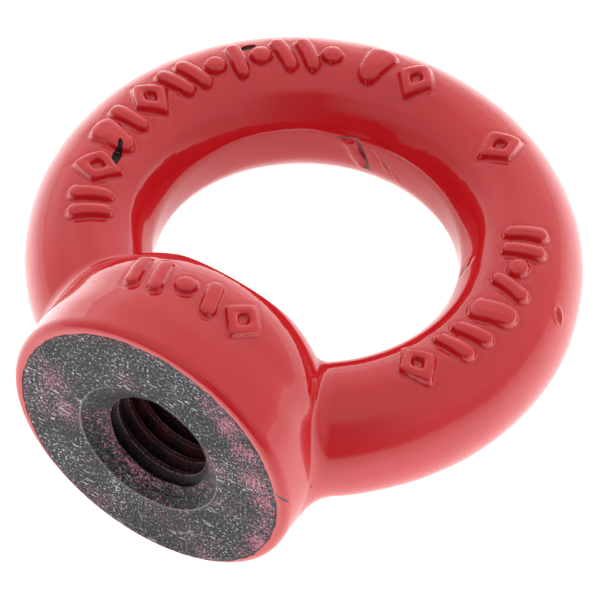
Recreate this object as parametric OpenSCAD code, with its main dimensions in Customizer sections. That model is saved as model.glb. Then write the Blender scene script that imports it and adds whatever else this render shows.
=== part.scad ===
// Lifting eye nut, drop forged, M12 female thread, painted.
// Frame: origin at the centre of the machined seat face, on the thread axis.
// The thread axis is Y, with the open mouth facing -Y. The eye lies in the XY plane.

/* [Thread] */
// thread major diameter in mm
thread_d = 12; // [8:2:24]
// thread pitch in mm
thread_pitch = 1.75; // [1.25:0.25:3]
// countersink diameter at the seat face
csk_d = 15; // [10:0.5:26]
// countersink included angle in degrees
csk_angle = 120; // [90:5:120]

/* [Foot] */
// largest diameter of the foot under the paint
foot_d = 29.8; // [20:0.2:50]
// diameter of the bare machined seat face
seat_d = 28; // [18:0.2:48]
// diameter of the foot where it rounds over into the eye
neck_d = 28.4; // [18:0.2:48]
// height at which the foot starts to round over
neck_y = 9.6; // [6:0.2:20]

/* [Eye] */
// distance from the seat face to the centre of the eye
eye_h = 27.5; // [20:0.5:50]
// mean radius of the ring
ring_r = 20.7; // [14:0.1:40]
// diameter of the round ring section under the paint
ring_d = 12.3; // [8:0.1:24]

/* [Finish] */
// paint thickness
paint_t = 0.15; // [0.08:0.01:0.3]
// height of the raised forged marks, 0 for none
mark_h = 0.45; // [0:0.05:0.8]

/* [Hidden] */
$fn = 72;
bore_r = (thread_d - 1.0825 * thread_pitch) / 2;      // minor diameter, the wall of the hole
eye_r = ring_r - ring_d / 2 - 0.1;                    // the eye where it crosses the foot
csk_depth = (csk_d / 2 - bore_r) / tan(csk_angle / 2);
C_PAINT = [0.69, 0.07, 0.10];
C_STEEL = [0.20, 0.20, 0.21];
// raised marks on the upper face of the ring: [kind, degrees about the eye, tilt]; 0 bar, 1 dot, 2 hollow lozenge, 3 pad
RING_MARKS = [[0, -147, 0], [0, -153, 0], [2, -162.5, 0], [3, -174, 75], [0, 178, 0], [2, 169, 0], [0, 160, 20],
              [0, 154, 20], [1, 147.5, 0], [0, 141, 0], [1, 134.5, 0], [0, 128, 20], [0, 121.5, 20], [1, 115, 0],
              [3, 103, 75], [2, 91, 0], [2, 58.5, 0], [0, 27, 0], [0, 21, 0], [1, 14.5, 0],
              [0, 8, -20], [3, -2, -75], [0, -11, 15], [0, -17.5, 15], [2, -29, 0]];
// raised marks on the upper side of the foot: [kind, x, y, tilt]
FOOT_MARKS = [[0, -6.4, 8.0, 15], [0, -4.0, 8.0, 15], [1, -1.2, 8.0, 0], [0, 1.6, 8.0, 15], [2, 5.0, 8.0, 0]];

// turned about the Y axis: profile points are [radius, height above the seat]
module turned_y(pts) {
    rotate([-90, 0, 0]) rotate_extrude() polygon(pts);
}

// the ring, grown outwards by g
module ring(g) {
    translate([0, eye_h, 0]) rotate_extrude() translate([ring_r, 0]) circle(d = ring_d + 2 * g);
}

// the foot before the eye and the thread are cut, grown outwards by g
module foot(g) {
    f = foot_d / 2 + g;
    n = neck_d / 2 + g;
    s = seat_d / 2 + g;
    turned_y([[0, 0], [s, 0], [s + 0.34, 0.1], [s + 0.66, 0.4], [s + 0.83, 0.9], [f, 1.6], [f, 4.2],
              [f - 0.12, 6.4], [n, neck_y], [n - 0.35, neck_y + 1.3], [n - 0.95, neck_y + 2.3],
              [n - 1.8, neck_y + 3.2], [n - 3.0, neck_y + 4.1], [n - 4.6, neck_y + 5.0],
              [n - 6.6, neck_y + 5.8], [0, neck_y + 6.4]]);
}

// the eye as it passes through the foot, opening out towards both faces
module eye_cut(g) {
    e = eye_r - g;
    translate([0, eye_h, 0]) rotate_extrude()
        polygon([[0, -20], [e + 2.6, -20], [e + 1.75, -14], [e + 0.95, -10], [e + 0.35, -6], [e, -2.5],
                 [e, 2.5], [e + 0.35, 6], [e + 0.95, 10], [e + 1.75, 14], [e + 2.6, 20], [0, 20]]);
}

// one raised mark standing on z = 0, rooted 1.6 mm below it, its length along Y
module mark(kind, tilt, g) {
    h = 1.6 + mark_h + g;
    translate([0, 0, -1.6]) rotate([0, 0, tilt]) {
        if (kind == 0) translate([-0.55 - g, -1.7 - g, 0]) cube([1.1 + 2 * g, 3.4 + 2 * g, h]);
        if (kind == 1) cylinder(r = 0.85 + g, h = h, $fn = 32);
        if (kind == 2) rotate([0, 0, 45]) difference() {
            translate([-1.25 - g, -1.25 - g, 0]) cube([2.5 + 2 * g, 2.5 + 2 * g, h]);
            translate([-0.55 + g, -0.55 + g, -1]) cube([1.1 - 2 * g, 1.1 - 2 * g, h + 2]);
        }
        if (kind == 3) translate([-1.9 - g, -1.05 - g, 0]) cube([3.8 + 2 * g, 2.1 + 2 * g, h]);
    }
}

module marks(g) {
    for (m = RING_MARKS) translate([0, eye_h, 0]) rotate([0, 0, m[1]])
        translate([ring_r, 0, ring_d / 2]) rotate([0, 0, 90]) mark(m[0], m[2], g);
    for (m = FOOT_MARKS) translate([0, m[2], 0]) rotate([0, asin(m[1] / (foot_d / 2)), 0])
        translate([0, 0, foot_d / 2 - 0.3]) mark(m[0], m[3], g);
}

// the forging before machining, grown outwards by g
module blank(g) {
    difference() {
        union() {
            ring(g);
            foot(g);
        }
        eye_cut(g);
    }
    if (mark_h > 0) marks(g);
}

module tapped_hole() {
    rotate([-90, 0, 0]) {
        translate([0, 0, -1]) cylinder(r = bore_r, h = eye_h);
        translate([0, 0, -0.01]) cylinder(r1 = csk_d / 2 + 0.01, r2 = bore_r, h = csk_depth + 0.01);
    }
}

module forged_eye_nut() color(C_STEEL) difference() {
    blank(0);
    tapped_hole();
}

module paint_coat() color(C_PAINT) difference() {
    blank(paint_t);
    blank(0);
    tapped_hole();
    rotate([-90, 0, 0]) cylinder(r = seat_d / 2 + 0.06, h = 0.12, center = true);
}

forged_eye_nut();
paint_coat();
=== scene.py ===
import math
import bpy
import numpy as np
from mathutils import Matrix, Vector


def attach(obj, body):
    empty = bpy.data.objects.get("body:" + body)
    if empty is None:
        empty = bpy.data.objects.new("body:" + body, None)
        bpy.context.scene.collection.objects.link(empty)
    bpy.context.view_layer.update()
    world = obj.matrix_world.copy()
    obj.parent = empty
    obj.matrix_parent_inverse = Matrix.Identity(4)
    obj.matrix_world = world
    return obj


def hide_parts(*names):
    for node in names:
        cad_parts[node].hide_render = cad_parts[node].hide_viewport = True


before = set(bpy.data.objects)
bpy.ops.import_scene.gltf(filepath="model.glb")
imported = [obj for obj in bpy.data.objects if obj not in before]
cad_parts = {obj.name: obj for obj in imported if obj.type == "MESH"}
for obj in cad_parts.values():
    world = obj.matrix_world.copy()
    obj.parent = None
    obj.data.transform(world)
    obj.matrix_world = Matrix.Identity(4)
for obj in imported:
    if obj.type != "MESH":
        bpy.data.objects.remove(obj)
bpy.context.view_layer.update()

# ---------------------------------------------------------------- sizes, in mm, in the row frame
EYE_H, RING_R, TUBE_R = 27.71, 20.61, 5.99
FOOT_R, SEAT_R, BORE_R, MAJOR_R, PITCH = 14.9, 13.9, 5.053, 6.04, 1.75
CSK_R = 7.5
PAINT = 0.15
GRID = 0.19

# raised marks: kind (0 bar, 1 dot, 2 hollow lozenge, 3 pad), degrees about the eye, tilt in degrees
RING_MARKS = [(0, -147, 0), (0, -153, 0), (2, -162.5, 0), (3, -174, 75), (0, 178, 0), (2, 169, 0), (0, 160, 20),
              (0, 154, 20), (1, 147.5, 0), (0, 141, 0), (1, 134.5, 0), (0, 128, 20), (0, 121.5, 20), (1, 115, 0),
              (3, 103, 75), (2, 91, 0), (2, 58.5, 0), (0, 27, 0), (0, 21, 0), (1, 14.5, 0),
              (0, 8, -20), (3, -2, -75), (0, -11, 15), (0, -17.5, 15), (2, -29, 0)]
# kind, x, y, tilt
FOOT_MARKS = [(0, -6.4, 8.0, 15), (0, -4.0, 8.0, 15), (1, -1.2, 8.0, 0), (0, 1.6, 8.0, 15), (2, 5.0, 8.0, 0)]


def smooth(a, b, x):
    t = np.clip((x - a) / (b - a), 0, 1)
    return t * t * (3 - 2 * t)


def rmax(a, b, r):
    return np.minimum(np.maximum(a, b), -r) + np.hypot(np.maximum(a + r, 0), np.maximum(b + r, 0))


def rmin(a, b, r):
    return np.maximum(np.minimum(a, b), r) - np.hypot(np.maximum(r - a, 0), np.maximum(r - b, 0))


# ---------------------------------------------------------------- smooth value noise, seeded
_rng = np.random.default_rng(7)
_LAT = _rng.uniform(-1, 1, (32, 32, 32)).astype(np.float32)


def noise(P, cell, off=0.0):
    q = P / cell + off
    i = np.floor(q).astype(np.int64)
    f = q - i
    f = f * f * (3 - 2 * f)
    i &= 31
    j = (i + 1) & 31
    x0, y0, z0 = i.T
    x1, y1, z1 = j.T
    fx, fy, fz = f.T
    L = _LAT
    a = L[x0, y0, z0] * (1 - fx) + L[x1, y0, z0] * fx
    b = L[x0, y1, z0] * (1 - fx) + L[x1, y1, z0] * fx
    c = L[x0, y0, z1] * (1 - fx) + L[x1, y0, z1] * fx
    d = L[x0, y1, z1] * (1 - fx) + L[x1, y1, z1] * fx
    return (a * (1 - fy) + b * fy) * (1 - fz) + (c * (1 - fy) + d * fy) * fz


# ---------------------------------------------------------------- the forging as a distance field
def mark_height(kind, u, v, tilt):
    """Height of one raised mark at (u across, v along), in mm; soft forged sides and slightly domed tops."""
    c, s = math.cos(math.radians(tilt)), math.sin(math.radians(tilt))
    a, b = u * c + v * s, -u * s + v * c
    if kind == 0:
        d = np.hypot(a, np.maximum(np.abs(b) - 1.45, 0)) - 0.72
    elif kind == 1:
        d = np.hypot(a, b) - 1.02
    elif kind == 2:
        r = (np.sqrt(a * a + 0.05) * 1.06 + np.sqrt(b * b + 0.05) * 0.82 - 1.50) * 0.76
        d = np.abs(r) - 0.50
    else:
        d = np.hypot(np.maximum(np.abs(a) - 1.3, 0), b * (0.85 + 0.06 * a)) - 1.05
    edge = smooth(0.15, -0.15, d)
    dome = 0.74 + 0.26 * np.clip(-d / 0.6, 0, 1)
    return 0.70 * edge * dome - 0.05 * smooth(0.75, 0.2, d) * smooth(0.0, 0.2, d)


def add_marks(P, d):
    x, y, z = P.T
    top = (z > 4.2) & (np.abs(np.hypot(x, y - EYE_H) - RING_R) < 4.2) & ((np.hypot(x, z) > 12.5) | (y > 20))
    idx = np.nonzero(top)[0]
    if len(idx):
        X, Y = x[idx], y[idx] - EYE_H
        ang = np.degrees(np.arctan2(Y, X))
        rho = np.hypot(X, Y)
        h = np.zeros(len(idx))
        for kind, a0, tilt in RING_MARKS:
            da = (ang - a0 + 180) % 360 - 180
            near = np.nonzero(np.abs(da) < 9)[0]
            if len(near):
                u = np.radians(da[near]) * RING_R
                v = rho[near] - RING_R
                q = mark_height(kind, u, v, -tilt)
                h[near] = np.where(np.abs(q) > np.abs(h[near]), q, h[near])
        d[idx] -= h * smooth(4.2, 5.2, z[idx])
    side = (z > 8) & (y > 3.5) & (y < 13) & (np.abs(x) < 9.5)
    idx = np.nonzero(side)[0]
    if len(idx):
        u0 = np.arctan2(x[idx], z[idx]) * 14.6
        h = np.zeros(len(idx))
        for kind, mx, my, tilt in FOOT_MARKS:
            u = u0 - math.asin(mx / 14.9) * 14.6
            v = y[idx] - my
            q = mark_height(kind, u, v, tilt)
            h = np.where(np.abs(q) > np.abs(h), q, h)
        d[idx] -= h * 0.9
    return d


def spot(c, n, along, half):
    """Centre, axes as rows (along, across, out of the surface) and half sizes of a spot on the surface."""
    n = np.array(n) / np.linalg.norm(n)
    a = np.array(along) - n * np.dot(along, n)
    a /= np.linalg.norm(a)
    return np.array(c), np.array([a, np.cross(n, a), n]), np.array(half)


# raised or sunk spots: a lap of scale on the inside of the ring, grooves beside it, a pit with a lifted rim
BLOBS = [(*spot((-4.05, 42.02, 0.95), (0.27, -0.96, 0.05), (0.35, 0.1, -1.0), (0.8, 0.75, 0.9)), 0.30),
         (*spot((-3.30, 42.22, -0.35), (0.22, -0.97, 0.0), (0.42, 0.1, -1.0), (2.1, 0.72, 0.9)), 0.42),
         (*spot((-2.45, 42.45, -1.9), (0.18, -0.95, -0.2), (0.5, 0.1, -1.0), (0.75, 0.55, 0.9)), 0.35),
         (*spot((-2.55, 42.40, 0.05), (0.18, -0.98, 0.0), (0.42, 0.1, -1.0), (2.1, 0.30, 0.8)), -0.42),
         (*spot((-3.95, 41.95, 1.35), (0.25, -0.95, 0.1), (1.0, 0.2, 0.1), (0.85, 0.26, 0.7)), -0.30),
         (*spot((-1.0, 42.55, 0.1), (0.1, -0.99, 0.0), (0.75, 0, -1.0), (1.5, 0.24, 0.6)), -0.14),
         (*spot((-0.3, 42.58, -0.5), (0.05, -0.99, 0.0), (0.85, 0, -1.0), (1.7, 0.26, 0.6)), 0.12),
         (*spot((0.4, 42.60, -0.9), (-0.02, -0.99, -0.1), (0.7, 0, -1.0), (1.4, 0.24, 0.6)), -0.12),
         (*spot((1.0, 42.58, -1.4), (-0.05, -0.98, -0.17), (0.9, 0, -1.0), (1.3, 0.28, 0.6)), 0.12),
         (*spot((25.08, 31.95, 3.80), (0.789, 0.138, 0.599), (-0.55, 0.5, 0.6), (1.35, 0.85, 0.8)), 0.16),
         (*spot((25.12, 31.93, 3.80), (0.789, 0.138, 0.599), (-0.55, 0.5, 0.6), (1.0, 0.52, 0.8)), -0.46),
         (*spot((15.17, 4.36, 0.35), (0.974, -0.225, 0.037), (-0.1, -0.25, -0.8), (0.85, 0.42, 0.6)), 0.08),
         (*spot((15.17, 4.36, 0.35), (0.974, -0.225, 0.037), (-0.1, -0.25, -0.8), (0.55, 0.24, 0.6)), -0.30),
         (*spot((14.42, 32.85, 2.80), (-0.826, -0.291, 0.482), (0.35, 0.75, 0.8), (1.9, 0.60, 0.7)), -0.14),
         (*spot((14.50, 33.2, 3.05), (-0.826, -0.291, 0.482), (0.35, 0.75, 0.8), (0.7, 0.30, 0.6)), 0.14)]


def blank(P, detail=True):
    """Distance to the forging before it is machined. Negative inside."""
    x, y, z = P.T
    ey = y - EYE_H
    rc = np.hypot(x, ey)
    c1, s1 = x / np.maximum(rc, 1e-6), ey / np.maximum(rc, 1e-6)
    c2 = c1 * c1 - s1 * s1
    # the ring as forged: a little uneven, and slightly deeper than wide
    u = rc - (RING_R + 0.021 * c1 - 0.051 * s1 - 0.026 * c2)
    t = TUBE_R - 0.079 * c1 - 0.080 * s1 + 0.089 * c2
    zr = z + 0.077 + 0.20 * c1 + 0.016 * s1
    ring = np.hypot(u, zr / 1.06) - t
    # the narrow land where the middle was punched out, and the dressed flank above it
    ring = rmax(ring, -u - t + 0.15, 0.15)
    ang = np.degrees(np.arctan2(s1, c1)) % 360
    w = smooth(22, 36, ang) * smooth(112, 84, ang) + smooth(146, 164, ang) * smooth(222, 205, ang)
    ring = rmax(ring, -u * 0.8616 + zr * 0.5075 - 1.0158 * t + 0.135 * w - 0.05 * (1 - w), 0.25)
    # the foot leans a little and sits a little high of the thread
    rho = np.hypot((x + 0.034 + 0.0456 * y) / 1.0257, z - 0.29)
    low = smooth(1.5, -4.0, z)                          # the underside draws in more than the marked side
    side = rho - (14.56 - (0.28 + 0.72 * low) * smooth(3.2, 7.6, y) - (0.030 - 0.025 * low) * np.clip(y - 7, 0, 14))
    foot = rmax(side, y - (16.5 - 0.47 * (1 - low)), 8.7)
    foot = rmax(foot, -y, 0.9)
    d = rmin(foot, ring, 1.25 + 1.55 * smooth(2.0, -4.0, z) - 0.45 * smooth(17.5, 14.5, rc))
    d = rmax(d, 14.66 - 1.7 * smooth(15.5, 21.5, y) - rc, 0.9)
    if detail:
        # the slow unevenness of a hand-fed forging, none near the machined face
        w = smooth(0.0, 2.0, y)
        d = d + w * (0.045 * noise(P, 7.5, 3.1) + 0.022 * noise(P, 3.1, 9.4))
        d = add_marks(P, d)
        for c, axes, half, height in BLOBS:
            q = (P - c) @ axes.T / half
            r2 = (q * q).sum(1)
            near = np.nonzero(r2 < 1)[0]
            if len(near):
                d[near] -= height * (1 - r2[near]) ** 1.5
    return d


# ---------------------------------------------------------------- meshing a distance field
def block_samples(f, lo, hi, h, B=8, margin=0.9):
    n = np.ceil((np.array(hi) - lo) / (h * B)).astype(int)
    c = np.stack(np.meshgrid(*[np.arange(k) for k in n], indexing="ij"), -1).reshape(-1, 3)
    centre = np.array(lo) + (c + 0.5) * B * h
    dc = f(centre)
    live = np.abs(dc) < B * h * 0.87 + margin
    dims = n * B + 1
    F = np.repeat(np.repeat(np.repeat(np.where(dc.reshape(n) < 0, -9.0, 9.0).astype(np.float32), B, 0), B, 1), B, 2)
    F = np.pad(F, ((0, 1),) * 3, mode="edge")
    o = np.stack(np.meshgrid(*[np.arange(B + 1)] * 3, indexing="ij"), -1).reshape(-1, 3)
    ids = (c[live][:, None, :] * B + o[None]).reshape(-1, 3)
    flat = np.unique((ids[:, 0] * dims[1] + ids[:, 1]) * dims[2] + ids[:, 2])
    out = np.empty(len(flat), np.float32)
    for a in range(0, len(flat), 400000):
        k = flat[a:a + 400000]
        q = np.stack([k // (dims[1] * dims[2]), (k // dims[2]) % dims[1], k % dims[2]], -1)
        out[a:a + 400000] = f(np.array(lo) + q * h)
    F.reshape(-1)[flat] = out
    return F


def surface_nets(F, lo, h):
    nx, ny, nz = F.shape
    inside = F < 0
    cnt = np.zeros((nx - 1, ny - 1, nz - 1), np.uint8)
    for a in (0, 1):
        for b in (0, 1):
            for c in (0, 1):
                cnt += inside[a:nx - 1 + a, b:ny - 1 + b, c:nz - 1 + c]
    cells = np.argwhere((cnt > 0) & (cnt < 8))
    index = np.full(cnt.shape, -1, np.int32)
    index[tuple(cells.T)] = np.arange(len(cells))
    corner = {}
    for a in (0, 1):
        for b in (0, 1):
            for c in (0, 1):
                corner[a, b, c] = F[cells[:, 0] + a, cells[:, 1] + b, cells[:, 2] + c]
    acc = np.zeros((len(cells), 3))
    num = np.zeros(len(cells))
    keys = list(corner)
    for p in keys:
        for ax in range(3):
            if p[ax] == 0:
                q = list(p); q[ax] = 1; q = tuple(q)
                fa, fb = corner[p], corner[q]
                cross = (fa < 0) != (fb < 0)
                t = np.where(cross, fa / np.where(cross, fa - fb, 1), 0)
                pos = np.array(p, float)[None] + t[:, None] * (np.array(q, float) - p)[None]
                acc += pos * cross[:, None]
                num += cross
    V = np.array(lo) + (cells + acc / num[:, None]) * h
    quads = []
    for ax in range(3):
        u, w = (ax + 1) % 3, (ax + 2) % 3
        sl0 = [slice(1, -1)] * 3; sl1 = [slice(1, -1)] * 3
        sl0[ax] = slice(0, -1); sl1[ax] = slice(1, None)
        A, Bv = inside[tuple(sl0)], inside[tuple(sl1)]
        for flip, sel in ((False, A & ~Bv), (True, ~A & Bv)):
            e = np.argwhere(sel)
            if not len(e):
                continue
            e[:, u] += 1; e[:, w] += 1
            q = []
            for du, dw in ((-1, -1), (0, -1), (0, 0), (-1, 0)):
                k = e.copy(); k[:, u] += du; k[:, w] += dw
                q.append(index[tuple(k.T)])
            q = np.stack(q, -1)
            quads.append(q[:, ::-1] if flip else q)
    Q = np.concatenate(quads)
    return V, Q[(Q >= 0).all(1)]


def gradient(f, P, e=0.02):
    g = np.empty_like(P)
    for k in range(3):
        s = np.zeros(3); s[k] = e
        g[:, k] = (f(P + s) - f(P - s)) / (2 * e)
    return g


def settle(f, V, h, steps=2):
    for _ in range(steps):
        g = gradient(f, V)
        n2 = np.maximum((g * g).sum(1), 0.05)
        step = -(f(V) / n2)[:, None] * g
        ln = np.linalg.norm(step, axis=1, keepdims=True)
        V = V + step * np.minimum(1, 0.5 * h / np.maximum(ln, 1e-9))
    return V


def triangles(Q):
    return np.concatenate([Q[:, [0, 1, 2]], Q[:, [0, 2, 3]]])


def cut(V, T, m):
    """Keeps the part of a triangle mesh where m > 0, cutting triangles along m = 0."""
    pos = m > 0
    k = pos[T].sum(1)
    keep = T[k == 3]
    new_v, new_m, edge = [], [], {}
    out = [keep]
    part = T[(k == 1) | (k == 2)]
    base = len(V)
    extra, tris = [], []
    for t in part:
        p = pos[t]
        # turn the triangle so that its odd one out comes first
        odd = int(np.nonzero(p)[0][0]) if p.sum() == 1 else int(np.nonzero(~p)[0][0])
        a, b, c = int(t[odd]), int(t[(odd + 1) % 3]), int(t[(odd + 2) % 3])
        ids = []
        for q in (b, c):
            key = (min(a, q), max(a, q))
            if key not in edge:
                s = m[a] / (m[a] - m[q])
                s = min(max(s, 0.02), 0.98)
                edge[key] = base + len(extra)
                extra.append(V[a] + (V[q] - V[a]) * s)
            ids.append(edge[key])
        ab, ac = ids
        if p.sum() == 1:
            tris.append((a, ab, ac))
        else:
            tris.append((ab, b, c)); tris.append((ab, c, ac))
    if extra:
        V = np.concatenate([V, np.array(extra)])
        out.append(np.array(tris))
    T = np.concatenate(out)
    used = np.unique(T)
    back = np.full(len(V), -1); back[used] = np.arange(len(used))
    return V[used], back[T]


def shell(f, V, T, thick):
    """Turns the edges of an open sheet in: walls along its rims, sunk along the inward normal into the steel."""
    g = gradient(f, V)
    g /= np.maximum(np.linalg.norm(g, axis=1, keepdims=True), 1e-6)
    n = len(V)
    low = V - g * (thick[:, None] if np.ndim(thick) else thick)
    e = np.concatenate([T[:, [0, 1]], T[:, [1, 2]], T[:, [2, 0]]])
    key = np.sort(e, 1)
    code = key[:, 0] * np.int64(n) + key[:, 1]
    u, first, counts = np.unique(code, return_index=True, return_counts=True)
    rim = e[first[counts == 1]]
    walls = np.concatenate([np.stack([rim[:, 1], rim[:, 0], rim[:, 0] + n], 1),
                            np.stack([rim[:, 1], rim[:, 0] + n, rim[:, 1] + n], 1)])
    T = np.concatenate([T, walls])
    V = np.concatenate([V, low])
    used = np.unique(T)
    back = np.full(len(V), -1); back[used] = np.arange(len(used))
    return V[used], back[T]


def add_mesh(name, V, T, sharp=None):
    me = bpy.data.meshes.new(name)
    T = np.asarray(T, np.int32)
    k = T.shape[1]
    me.vertices.add(len(V)); me.loops.add(T.size); me.polygons.add(len(T))
    me.vertices.foreach_set("co", (np.asarray(V) * 0.001).astype(np.float32).ravel())
    me.loops.foreach_set("vertex_index", T.ravel())
    me.polygons.foreach_set("loop_start", np.arange(0, T.size, k, dtype=np.int32))
    me.update(calc_edges=True)
    me.validate()
    me.polygons.foreach_set("use_smooth", np.ones(len(me.polygons), bool))
    if sharp:
        me.set_sharp_from_angle(angle=math.radians(sharp))
    o = bpy.data.objects.new(name, me)
    bpy.context.scene.collection.objects.link(o)
    return o


# ---------------------------------------------------------------- the paint
# bare spots: centre, three axes as rows, half sizes
CHIPS = [spot((-18.92, 23.75, 7.05), (0.19, 0.04, 0.98), (0.32, -1.0, 0.0), (1.05, 0.46, 1.3)),
         spot((-19.35, 24.85, 7.1), (0.17, 0.02, 0.98), (-0.55, 0.8, 0.0), (0.55, 0.26, 1.2)),
         spot((-16.40, 42.95, 6.55), (-0.217, 0.229, 0.949), (0.45, 0.9, 0.0), (1.0, 0.42, 1.4)),
         spot((-13.1, 0.55, -5.35), (-0.9, -0.3, -0.35), (0.38, 0.05, -0.92), (1.5, 0.30, 1.2))]


def paint_depth(P):
    """Film thickness, thinning out to nothing at the machined face."""
    x, y, z = P.T
    rho = np.hypot(x, z)
    thin = (1 - smooth(13.9, 14.75, rho)) * (y < 2.5)
    return PAINT - (PAINT - 0.012) * thin


def coat_field(P):
    return blank(P) - paint_depth(P)


def paint_mask(P):
    """Above zero where the paint is."""
    x, y, z = P.T
    rho = np.hypot(x, z)
    rag = 0.10 * noise(P, 0.9, 1.7) + 0.06 * noise(P, 0.35, 5.2) + 0.05 * noise(P, 2.6, 8.8)
    m = np.where(y < 1.2, rho - 13.95 + rag, 9.0)
    m = np.minimum(m, np.where((y < 20) & (rho < 9), rho - 6.3 + rag, 9.0))
    for c, axes, half in CHIPS:
        q = (P - c) @ axes.T / half
        m = np.minimum(m, (np.sqrt((q * q).sum(1)) - 1 + 0.22 * noise(P, 0.5, 2.2)) * 0.6)
    return m


def core_field(P):
    """The forging with the parts that the machined liner stands in for cut away."""
    x, y, z = P.T
    rho = np.hypot(x, z)
    d = blank(P)
    d = np.maximum(d, -np.maximum(rho - 12.7, y - 0.5))
    return np.maximum(d, np.where(y < 22, 6.45 - rho, -9.0))


def liner():
    """Seat face, countersink and right-hand M12 x 1.75 thread as one structured sheet."""
    n_t = 300
    th = np.linspace(0, 2 * np.pi, n_t + 1)               # the seam is welded afterwards
    n_t += 1
    S, C = np.sin(th), np.cos(th)

    def at(r, y):
        return np.stack([r * S, np.broadcast_to(y, r.shape), r * C], -1)

    one = np.ones(n_t)
    rows = []
    for r in np.linspace(12.9, 7.72, 16):               # the flat face; its rim is the forging's own
        rows.append(at(one * r, one * -0.004))
    for r, y in ((7.62, -0.018), (7.56, -0.020), (7.52, 0.006), (7.49, 0.045)):
        rows.append(at(one * r, one * y))
    # where the hole breaks out into the eye
    def out_y(r):
        lo_, hi_ = np.full(n_t, 6.0), np.full(n_t, 19.0)
        for _ in range(26):
            mid = (lo_ + hi_) / 2
            inside = blank(np.stack([r * S, mid, r * C], -1)) < 0
            lo_, hi_ = np.where(inside, mid, lo_), np.where(inside, hi_, mid)
        return lo_
    y_end = out_y(one * 5.4)
    y0 = 0.05
    prof = np.array([0.0, 0.10, 0.2188, 0.33, 0.44, 0.55, 0.66, 0.766, 0.85, 0.90, 0.984, 1.09, 1.20, 1.31, 1.42, 1.53, 1.65])
    s = np.concatenate([prof + PITCH * k for k in range(-1, 9)])
    twist = PITCH * th / (2 * np.pi)
    for sk in s:
        y = np.clip(sk + twist, y0, y_end)
        ph = np.mod(y - twist, PITCH)                     # 0..pitch along the thread from the middle of a crest
        dr = np.abs(ph - PITCH / 2)                       # distance from the middle of the groove
        r_t = np.clip(MAJOR_R - np.maximum(dr - 0.11, 0) * 1.732, BORE_R, None)
        r_c = 7.49 - (y - 0.05) * 1.732
        rows.append(at(np.maximum(r_t, r_c), y))
    last = np.hypot(rows[-1][:, 0], rows[-1][:, 2])
    for r in (5.9, 6.2, 6.7):
        rr = np.maximum(one * r, last + 0.02)
        rows.append(at(rr, out_y(rr) - 0.01))
    V = np.concatenate(rows)
    m = len(rows)
    a = np.arange(m - 1)[:, None] * n_t + np.arange(n_t - 1)[None]
    Q = np.stack([a, a + n_t, a + n_t + 1, a + 1], -1).reshape(-1, 4)
    return V, Q


# ---------------------------------------------------------------- materials
def nodes_of(name):
    mat = bpy.data.materials.new(name)
    mat.use_nodes = True
    nt = mat.node_tree
    nt.nodes.clear()
    out = nt.nodes.new("ShaderNodeOutputMaterial")
    bsdf = nt.nodes.new("ShaderNodeBsdfPrincipled")
    nt.links.new(bsdf.outputs[0], out.inputs[0])
    co = nt.nodes.new("ShaderNodeTexCoord")
    mm = nt.nodes.new("ShaderNodeVectorMath"); mm.operation = "SCALE"
    mm.inputs["Scale"].default_value = 1000.0          # the object's own millimetres
    nt.links.new(co.outputs["Object"], mm.inputs[0])
    return mat, nt, bsdf, mm.outputs[0]


def tex_noise(nt, vec, scale, detail=2.0, rough=0.5, dist=0.0):
    n = nt.nodes.new("ShaderNodeTexNoise")
    n.inputs["Scale"].default_value = scale
    n.inputs["Detail"].default_value = detail
    n.inputs["Roughness"].default_value = rough
    n.inputs["Distortion"].default_value = dist
    nt.links.new(vec, n.inputs["Vector"])
    return n.outputs["Fac"]


def ramp(nt, fac, stops):
    r = nt.nodes.new("ShaderNodeValToRGB")
    el = r.color_ramp.elements
    while len(el) < len(stops):
        el.new(0.5)
    for e, (p, c) in zip(el, stops):
        e.position = p
        e.color = (*c, 1) if len(c) == 3 else c
    nt.links.new(fac, r.inputs[0])
    return r.outputs[0]


def mix(nt, fac, a, b, mode="MIX"):
    m = nt.nodes.new("ShaderNodeMix"); m.data_type = "RGBA"; m.blend_type = mode
    for s_, v in ((0, fac), (6, a), (7, b)):
        if isinstance(v, (int, float)):
            m.inputs[s_].default_value = v
        elif isinstance(v, tuple):
            m.inputs[s_].default_value = (*v, 1)
        else:
            nt.links.new(v, m.inputs[s_])
    return m.outputs[2]


def math_node(nt, op, a, b=None, c=None, clamp=False):
    m = nt.nodes.new("ShaderNodeMath"); m.operation = op; m.use_clamp = clamp
    for k, v in enumerate((a, b, c)):
        if v is None:
            continue
        if isinstance(v, (int, float)):
            m.inputs[k].default_value = v
        else:
            nt.links.new(v, m.inputs[k])
    return m.outputs[0]


def map_range(nt, v, a, b, lo=0.0, hi=1.0):
    m = nt.nodes.new("ShaderNodeMapRange")
    for k, x in zip((1, 2, 3, 4), (a, b, lo, hi)):
        m.inputs[k].default_value = x
    nt.links.new(v, m.inputs[0])
    return m.outputs[0]


def bump(nt, bsdf, layers):
    last = None
    for height, dist, strength in layers:
        b = nt.nodes.new("ShaderNodeBump")
        b.inputs["Distance"].default_value = dist * 0.001
        b.inputs["Strength"].default_value = strength
        nt.links.new(height, b.inputs["Height"])
        if last is not None:
            nt.links.new(last, b.inputs["Normal"])
        last = b.outputs[0]
    nt.links.new(last, bsdf.inputs["Normal"])
    return last


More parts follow.
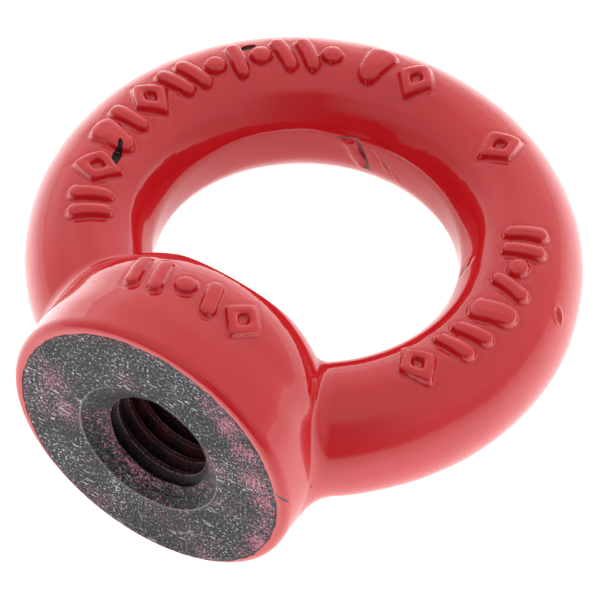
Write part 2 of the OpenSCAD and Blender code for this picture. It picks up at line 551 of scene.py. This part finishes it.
# dark lines painted as shade in creases: centre, normal, direction, half sizes, amount
CREASE_SHADE = [((-2.55, 42.40, 0.05), (0.18, -0.98, 0.0), (0.42, 0.1, -1.0), (2.3, 0.20), 0.85),
        ((-4.30, 41.92, 1.55), (0.27, -0.96, 0.05), (1.0, 0.3, 0.25), (1.0, 0.16), 0.7),
        ((-2.00, 42.48, -2.05), (0.18, -0.95, -0.2), (0.42, 0.1, -1.0), (0.55, 0.26), 0.9),
        ((0.40, 42.60, -0.90), (-0.02, -0.99, -0.1), (0.7, 0.0, -1.0), (1.2, 0.09), 0.5),
        ((14.30, 0.25, 2.60), (0.75, -0.65, 0.1), (0.8, 0.64, -0.86), (1.0, 0.14), 1.0),
        ((11.0, 44.7, 5.95), (-0.03, -0.05, 1.0), (0.53, 0.84, 0.06), (1.7, 0.13), 0.6),
        ((14.42, 32.85, 2.80), (-0.826, -0.291, 0.482), (0.35, 0.75, 0.8), (1.2, 0.22), 0.45)]


def paint_material():
    mat, nt, p, mm = nodes_of("red_gloss_paint")
    tone = tex_noise(nt, mm, 0.16, 3.0, 0.55)
    fine = tex_noise(nt, mm, 2.2, 3.0, 0.6)
    col = ramp(nt, tone, [(0.25, (0.465, 0.0078, 0.0115)), (0.75, (0.505, 0.0096, 0.0140))])
    # dust nibs and tiny pin holes in the film
    vor = nt.nodes.new("ShaderNodeTexVoronoi"); vor.inputs["Scale"].default_value = 0.42
    nt.links.new(mm, vor.inputs["Vector"])
    pin = map_range(nt, vor.outputs["Distance"], 0.03, 0.055, 1.0, 0.0)
    col = mix(nt, math_node(nt, "MULTIPLY", pin, 0.45), col, (0.10, 0.004, 0.006))
    # painted shade: dark lines along the lap and its grooves, the crack at the rim and the foot of one mark
    for c, n_, along, (la, lb), amount in CREASE_SHADE:
        _, axes, _ = spot(c, n_, along, (1, 1, 1))
        d = nt.nodes.new("ShaderNodeVectorMath"); d.operation = "SUBTRACT"
        nt.links.new(mm, d.inputs[0]); d.inputs[1].default_value = c
        parts = []
        for axis, size in ((axes[0], la), (axes[1], lb), (axes[2], 0.9)):
            k = nt.nodes.new("ShaderNodeVectorMath"); k.operation = "DOT_PRODUCT"
            nt.links.new(d.outputs[0], k.inputs[0]); k.inputs[1].default_value = tuple(float(q) / size for q in axis)
            parts.append(math_node(nt, "MULTIPLY", k.outputs["Value"], k.outputs["Value"]))
        r2 = math_node(nt, "ADD", math_node(nt, "ADD", parts[0], parts[1]), parts[2])
        ragged = math_node(nt, "ADD", r2, map_range(nt, fine, 0.3, 0.7, -0.55, 0.55))
        col = mix(nt, math_node(nt, "MULTIPLY", map_range(nt, ragged, 1.15, 0.55), amount), col, (0.030, 0.010, 0.010))
    nt.links.new(col, p.inputs["Base Color"])
    rough = map_range(nt, fine, 0.3, 0.7, 0.17, 0.23)
    nt.links.new(rough, p.inputs["Roughness"])
    p.inputs["Specular IOR Level"].default_value = 0.0
    p.inputs["Coat Weight"].default_value = 1.0
    p.inputs["Coat Roughness"].default_value = 0.035
    p.inputs["Coat IOR"].default_value = 1.5
    peel = tex_noise(nt, mm, 0.75, 2.0, 0.5)
    wave = tex_noise(nt, mm, 0.22, 2.0, 0.5)
    n = bump(nt, p, [(wave, 0.10, 0.35), (peel, 0.02, 0.45), (pin, -0.03, 0.5)])
    nt.links.new(n, p.inputs["Coat Normal"])
    return mat


def steel_material():
    mat, nt, p, mm = nodes_of("dark_machined_steel")
    sep = nt.nodes.new("ShaderNodeSeparateXYZ"); nt.links.new(mm, sep.inputs[0])
    x, y, z = sep.outputs
    rho = math_node(nt, "SQRT", math_node(nt, "ADD", math_node(nt, "MULTIPLY", x, x), math_node(nt, "MULTIPLY", z, z)))
    speck = tex_noise(nt, mm, 3.7, 3.0, 0.78)
    cloud = tex_noise(nt, mm, 0.20, 3.0, 0.6)
    lift = math_node(nt, "ADD", speck, map_range(nt, cloud, 0.3, 0.7, -0.035, 0.035))
    col = ramp(nt, lift, [(0.42, (0.002, 0.002, 0.003)), (0.49, (0.008, 0.010, 0.0115)), (0.56, (0.026, 0.032, 0.036)), (0.615, (0.13, 0.135, 0.145)), (0.665, (0.78, 0.73, 0.78))])
    # short bright scratches, mostly in two directions, in loose groups
    patch = tex_noise(nt, mm, 0.26, 2.0, 0.5)
    scratch = None
    for turn, seed, size in ((0.75, 0.0, (0.55, 1, 4.2)), (2.25, 7.3, (0.75, 1, 4.8)), (1.5, 3.1, (0.6, 1, 5.5))):
        m1 = nt.nodes.new("ShaderNodeMapping")
        m1.inputs["Location"].default_value = (seed, 0, seed)
        m1.inputs["Rotation"].default_value = (0, turn, 0)
        m1.inputs["Scale"].default_value = size
        nt.links.new(mm, m1.inputs[0])
        one = map_range(nt, tex_noise(nt, m1.outputs[0], 1.0, 1.0, 0.5), 0.685, 0.72)
        scratch = one if scratch is None else math_node(nt, "MAXIMUM", scratch, one)
    scratch = math_node(nt, "MULTIPLY", scratch, map_range(nt, patch, 0.47, 0.54))
    col = mix(nt, math_node(nt, "MULTIPLY", scratch, 0.9), col, (0.56, 0.59, 0.57))
    # the countersink's cone is smoother; its colour is painted darker as painted shade in the recess, and a painted
    # highlight runs along the edge where it meets the face
    countersink_shade = map_range(nt, rho, 7.58, 7.46)
    col = mix(nt, math_node(nt, "MULTIPLY", countersink_shade, 0.72), col, (0.010, 0.010, 0.011))
    edge = math_node(nt, "MULTIPLY", map_range(nt, rho, 7.43, 7.52), map_range(nt, rho, 7.62, 7.54))
    col = mix(nt, math_node(nt, "MULTIPLY", edge, math_node(nt, "MULTIPLY", lift, 0.75)), col, (0.50, 0.46, 0.47))
    # paint mist carried onto the face, in the places where the spray reached it
    mist = tex_noise(nt, mm, 3.9, 3.0, 0.75)
    where = None
    for cx, cz, r, amount in MIST:
        d = nt.nodes.new("ShaderNodeVectorMath"); d.operation = "DISTANCE"
        nt.links.new(mm, d.inputs[0]); d.inputs[1].default_value = (cx, 0.0, cz)
        near = map_range(nt, d.outputs["Value"], r, r * 0.25, 0.0, amount)
        where = near if where is None else math_node(nt, "MAXIMUM", where, near)
    rim = map_range(nt, rho, 12.6, 13.8, 0.0, 0.08)
    bore = math_node(nt, "MULTIPLY", map_range(nt, rho, 7.3, 5.6), map_range(nt, cloud, 0.42, 0.55, 0.0, 0.085))
    lvl = math_node(nt, "ADD", math_node(nt, "MAXIMUM", math_node(nt, "MAXIMUM", where, rim), bore), map_range(nt, patch, 0.35, 0.65, -0.03, 0.04))
    on = map_range(nt, math_node(nt, "ADD", mist, lvl), 0.645, 0.675)
    col = mix(nt, math_node(nt, "MULTIPLY", on, 0.80), col, (0.50, 0.155, 0.22))
    # painted shadow: a dark line on the steel where the film stops, the shade under the film's edge
    col = mix(nt, math_node(nt, "MULTIPLY", map_range(nt, rho, 13.66, 13.86), 0.80), col, (0.006, 0.004, 0.005))
    # painted shade darkens the thread going into the hole; thin red paint is carried down the thread deeper in
    deep = map_range(nt, y, 3.0, 6.0)
    hole_shade = math_node(nt, "MULTIPLY", map_range(nt, y, 0.9, 1.6), map_range(nt, rho, 6.9, 6.6))
    red = tex_noise(nt, mm, 0.5, 2.0, 0.5)
    col = mix(nt, math_node(nt, "MULTIPLY", hole_shade, 0.85), col, (0.010, 0.008, 0.010))
    col = mix(nt, math_node(nt, "MULTIPLY", deep, math_node(nt, "MULTIPLY", map_range(nt, rho, 6.9, 6.6), map_range(nt, red, 0.45, 0.62, 0.15, 0.7))), col, (0.11, 0.010, 0.012))
    # painted highlights along the thread's crest edges
    crest_highlight = math_node(nt, "MULTIPLY", math_node(nt, "MULTIPLY", map_range(nt, rho, 5.062, 5.09), map_range(nt, rho, 5.22, 5.15)), map_range(nt, speck, 0.40, 0.56))
    col = mix(nt, math_node(nt, "MULTIPLY", crest_highlight, 0.55), col, (0.30, 0.12, 0.13))
    nt.links.new(col, p.inputs["Base Color"])
    p.inputs["Metallic"].default_value = 0.30
    p.inputs["Specular IOR Level"].default_value = 0.22
    nt.links.new(map_range(nt, lift, 0.35, 0.68, 0.58, 0.34), p.inputs["Roughness"])
    # turning marks about the thread axis
    rings = tex_noise_1d(nt, rho, 7.0)
    face = map_range(nt, y, 0.6, 0.3)
    bump(nt, p, [(math_node(nt, "MULTIPLY", rings, face), 0.035, 0.6), (speck, 0.07, 0.8), (scratch, -0.03, 0.6)])
    return mat


# where the spray reached the bare face: x, z, reach in mm, amount
MIST = [(6.6, 11.2, 2.4, 0.11), (8.6, 8.9, 2.8, 0.14), (10.0, 6.4, 3.0, 0.15), (11.3, 3.4, 2.8, 0.15), (12.6, 0.6, 2.4, 0.14),
        (12.9, -2.6, 2.4, 0.12), (12.2, -5.8, 2.8, 0.16), (10.6, -8.6, 2.4, 0.12), (-10.9, 3.1, 3.8, 0.09), (-8.6, -0.6, 3.4, 0.09),
        (-12.0, -1.2, 2.8, 0.09), (-12.2, 5.6, 2.6, 0.09), (6.5, 2.5, 3.4, 0.08), (1.5, -8.6, 4.2, 0.07), (6.5, -10.8, 3.6, 0.09),
        (9.0, -1.5, 3.2, 0.07), (-3.0, 8.2, 3.0, 0.05), (-5.0, -11.5, 3.4, 0.06)]


def tex_noise_1d(nt, v, scale):
    n = nt.nodes.new("ShaderNodeTexNoise"); n.noise_dimensions = "1D"
    n.inputs["Scale"].default_value = scale
    n.inputs["Detail"].default_value = 2.0
    nt.links.new(v, n.inputs["W"])
    return n.outputs["Fac"]


# ---------------------------------------------------------------- the two pieces
LO, HI = (-28.2, -0.9, -16.4), (28.2, 55.8, 16.4)
F = block_samples(coat_field, LO, HI, GRID)
V, Q = surface_nets(F, LO, GRID)
V = settle(coat_field, V, GRID)
V, T = cut(V, triangles(Q), paint_mask(V))
V, T = shell(blank, V, T, paint_depth(V) + 0.03)
coat = add_mesh("red_paint", V, T, sharp=55)
coat.data.materials.append(paint_material())

hc = GRID * 1.35
F = block_samples(core_field, LO, HI, hc)
V, Q = surface_nets(F, LO, hc)
V = settle(core_field, V, hc)
LV, LQ = liner()
steel = add_mesh("steel_forging", np.concatenate([V, LV]), np.concatenate([Q, LQ + len(V)]))
import bmesh
bm = bmesh.new()
bm.from_mesh(steel.data)
bm.verts.ensure_lookup_table()
bmesh.ops.remove_doubles(bm, verts=bm.verts[len(V):], dist=3e-6)
bmesh.ops.dissolve_degenerate(bm, dist=1e-6, edges=bm.edges)
bm.to_mesh(steel.data)
bm.free()
steel.data.set_sharp_from_angle(angle=math.radians(32))
steel.data.materials.append(steel_material())

for piece, node, slot in ((coat, "paint_coat", "red_paint"), (steel, "forged_eye_nut", "forged_steel")):
    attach(piece, "root")
    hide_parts(node)

# ---------------------------------------------------------------- floor
TILT = math.radians(11.1)
me = bpy.data.meshes.new("floor")
up = Vector((0, -math.sin(TILT), math.cos(TILT)))
along = Vector((0, math.cos(TILT), math.sin(TILT)))
c0 = Vector((0, 0.0042, -0.01512))
ring_pts = [c0 + Vector((1, 0, 0)) * 1.5 * math.cos(a) + along * 1.5 * math.sin(a) for a in np.linspace(0, 2 * math.pi, 96, endpoint=False)]
me.from_pydata(ring_pts, [], [list(range(96))])
floor = bpy.data.objects.new("floor", me)
bpy.context.scene.collection.objects.link(floor)
fm = bpy.data.materials.new("pale_floor_painted_glow"); fm.use_nodes = True
fb = fm.node_tree.nodes["Principled BSDF"]
fb.inputs["Base Color"].default_value = (0.8, 0.8, 0.8, 1)
fb.inputs["Roughness"].default_value = 0.6
fb.inputs["Emission Color"].default_value = (1, 1, 1, 1)
tcf = fm.node_tree.nodes.new("ShaderNodeTexCoord")
vl = fm.node_tree.nodes.new("ShaderNodeVectorMath"); vl.operation = "DISTANCE"
vl.inputs[1].default_value = (0, 0.024, -0.010)
fm.node_tree.links.new(tcf.outputs["Object"], vl.inputs[0])
# the floor glows by distance from the part: dim under it as a painted shadow, brightest 40-60 mm out as a painted pool
# of light
floor_glow_and_shadow = ramp(fm.node_tree, map_range(fm.node_tree, vl.outputs["Value"], 0.0, 0.160), [
    (k / 160, (v / 3,) * 3) for k, v in ((12, 0.80), (22, 0.90), (32, 1.35), (42, 1.62), (56, 1.65), (85, 1.40), (150, 1.05))])
fm.node_tree.links.new(math_node(fm.node_tree, "MULTIPLY", floor_glow_and_shadow, 3.0), fb.inputs["Emission Strength"])
me.materials.append(fm)

# ---------------------------------------------------------------- studio light: a pale room with one dark side behind the camera
scene = bpy.context.scene
world = bpy.data.worlds.new("studio"); scene.world = world
world.use_nodes = True
wt = world.node_tree; wt.nodes.clear()
wo = wt.nodes.new("ShaderNodeOutputWorld")
tc = wt.nodes.new("ShaderNodeTexCoord")
sp = wt.nodes.new("ShaderNodeSeparateXYZ"); wt.links.new(tc.outputs["Generated"], sp.inputs[0])
dx, dy, dz = sp.outputs
# a pale tent: brightest low down at the back and on the left, with a dim gap where the camera looks in
turn = math_node(wt, "FRACT", math_node(wt, "ADD", math_node(wt, "DIVIDE", math_node(wt, "ARCTAN2", dx, dy), 2 * math.pi), 1.0))
TENT = [(0, 1.95, 1.65), (20, 1.50, 1.50), (45, 1.25, 1.30), (75, 1.00, 1.25), (105, 0.85, 1.05), (128, 0.40, 0.45), (150, 0.20, 0.25),
        (166, 0.15, 0.75), (184, 0.32, 1.00), (206, 0.65, 1.08), (236, 0.85, 1.10), (258, 1.35, 1.25), (285, 2.05, 1.70), (312, 1.80, 1.50),
        (340, 2.40, 1.70), (360, 1.95, 1.65)]


def tent(k):
    r = ramp(wt, turn, [(row[0] / 360, (row[k] / 3,) * 3) for row in TENT])
    return math_node(wt, "MULTIPLY", r, 3.4)


def blend(a, b, t):
    return math_node(wt, "ADD", a, math_node(wt, "MULTIPLY", math_node(wt, "SUBTRACT", b, a), t))


def soft_range(v, a, b):
    m = wt.nodes.new("ShaderNodeMapRange"); m.interpolation_type = "SMOOTHSTEP"
    for k, q in zip((1, 2, 3, 4), (a, b, 0.0, 1.0)):
        m.inputs[k].default_value = q
    wt.links.new(v, m.inputs[0])
    return m.outputs[0]


level = blend(tent(1), tent(2), soft_range(dz, 0.24, 0.46))
level = blend(level, 1.42, soft_range(dz, 0.70, 0.93))
over = math_node(wt, "ADD", math_node(wt, "MULTIPLY", dy, -math.sin(math.radians(11.1))), math_node(wt, "MULTIPLY", dz, math.cos(math.radians(11.1))))
level = blend(1.75, level, soft_range(over, -0.02, 0.13))
lp = wt.nodes.new("ShaderNodeLightPath")
bg1 = wt.nodes.new("ShaderNodeBackground"); wt.links.new(level, bg1.inputs["Strength"])
bg2 = wt.nodes.new("ShaderNodeBackground"); bg2.inputs["Strength"].default_value = 1.0
bg2.inputs["Color"].default_value = (1, 1, 1, 1)
ms = wt.nodes.new("ShaderNodeMixShader")
wt.links.new(lp.outputs["Is Camera Ray"], ms.inputs[0])
wt.links.new(bg1.outputs[0], ms.inputs[1]); wt.links.new(bg2.outputs[0], ms.inputs[2])
wt.links.new(ms.outputs[0], wo.inputs[0])
scene.view_settings.view_transform = "Standard"
scene.view_settings.look = "None"

# ---------------------------------------------------------------- camera
AZ, EL, ROLL, DIST, FPX = math.radians(29.39), math.radians(49.85), math.radians(3.03), 447.9, 4700.9
back = Vector((math.sin(AZ) * math.cos(EL), -math.cos(AZ) * math.cos(EL), math.sin(EL)))
right = (-back).cross(Vector((0, 0, 1))).normalized()
upv = right.cross(-back)
r2 = math.cos(ROLL) * right + math.sin(ROLL) * upv
u2 = -math.sin(ROLL) * right + math.cos(ROLL) * upv
pos = Vector((0, 26, 0)) + r2 * 0.36 + u2 * -2.85 + back * DIST
cam = bpy.data.cameras.new("camera")
cam.sensor_width = 36.0
cam.lens = 36.0 * FPX / 600.0
cam.clip_start, cam.clip_end = 0.02, 10.0
camera = bpy.data.objects.new("camera", cam)
scene.collection.objects.link(camera)
m = Matrix((r2, u2, back)).transposed().to_4x4()
m.translation = pos * 0.001
camera.matrix_world = m
scene.camera = camera
